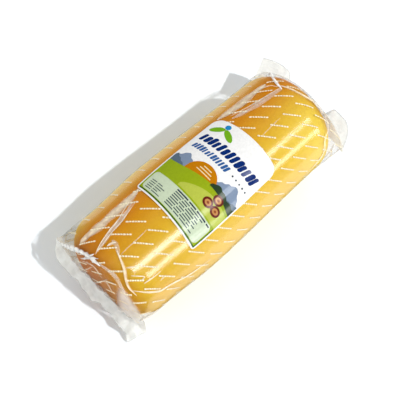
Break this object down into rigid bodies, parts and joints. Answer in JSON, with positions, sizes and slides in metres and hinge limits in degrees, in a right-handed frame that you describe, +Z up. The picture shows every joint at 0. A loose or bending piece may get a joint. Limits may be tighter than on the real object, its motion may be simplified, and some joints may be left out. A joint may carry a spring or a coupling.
{
  "type": "smoked scamorza",
  "caption": "Round log of smoked scamorza cheese in a tight clear bag, with flat seal fins at its ends and a curved printed label on its upper side.",
  "frame": {"origin": "middle of the flat strip that the log lies on, under the middle of its length", "axes": "+X along the log towards the end with the level ears, +Z up"},
  "size_m": [0.2845, 0.1185, 0.1007],
  "materials": {
    "wrapped_cheese": "golden smoked rind under clear glossy film",
    "cheese": "smooth golden smoked rind",
    "film": "clear glossy film",
    "film_print": "white print on film",
    "label": "glossy coated paper with printed fields"
  },
  "bodies": {
    "root": {"wrapped_log": "wrapped_cheese", "label": "label"}
  },
  "joints": []
}
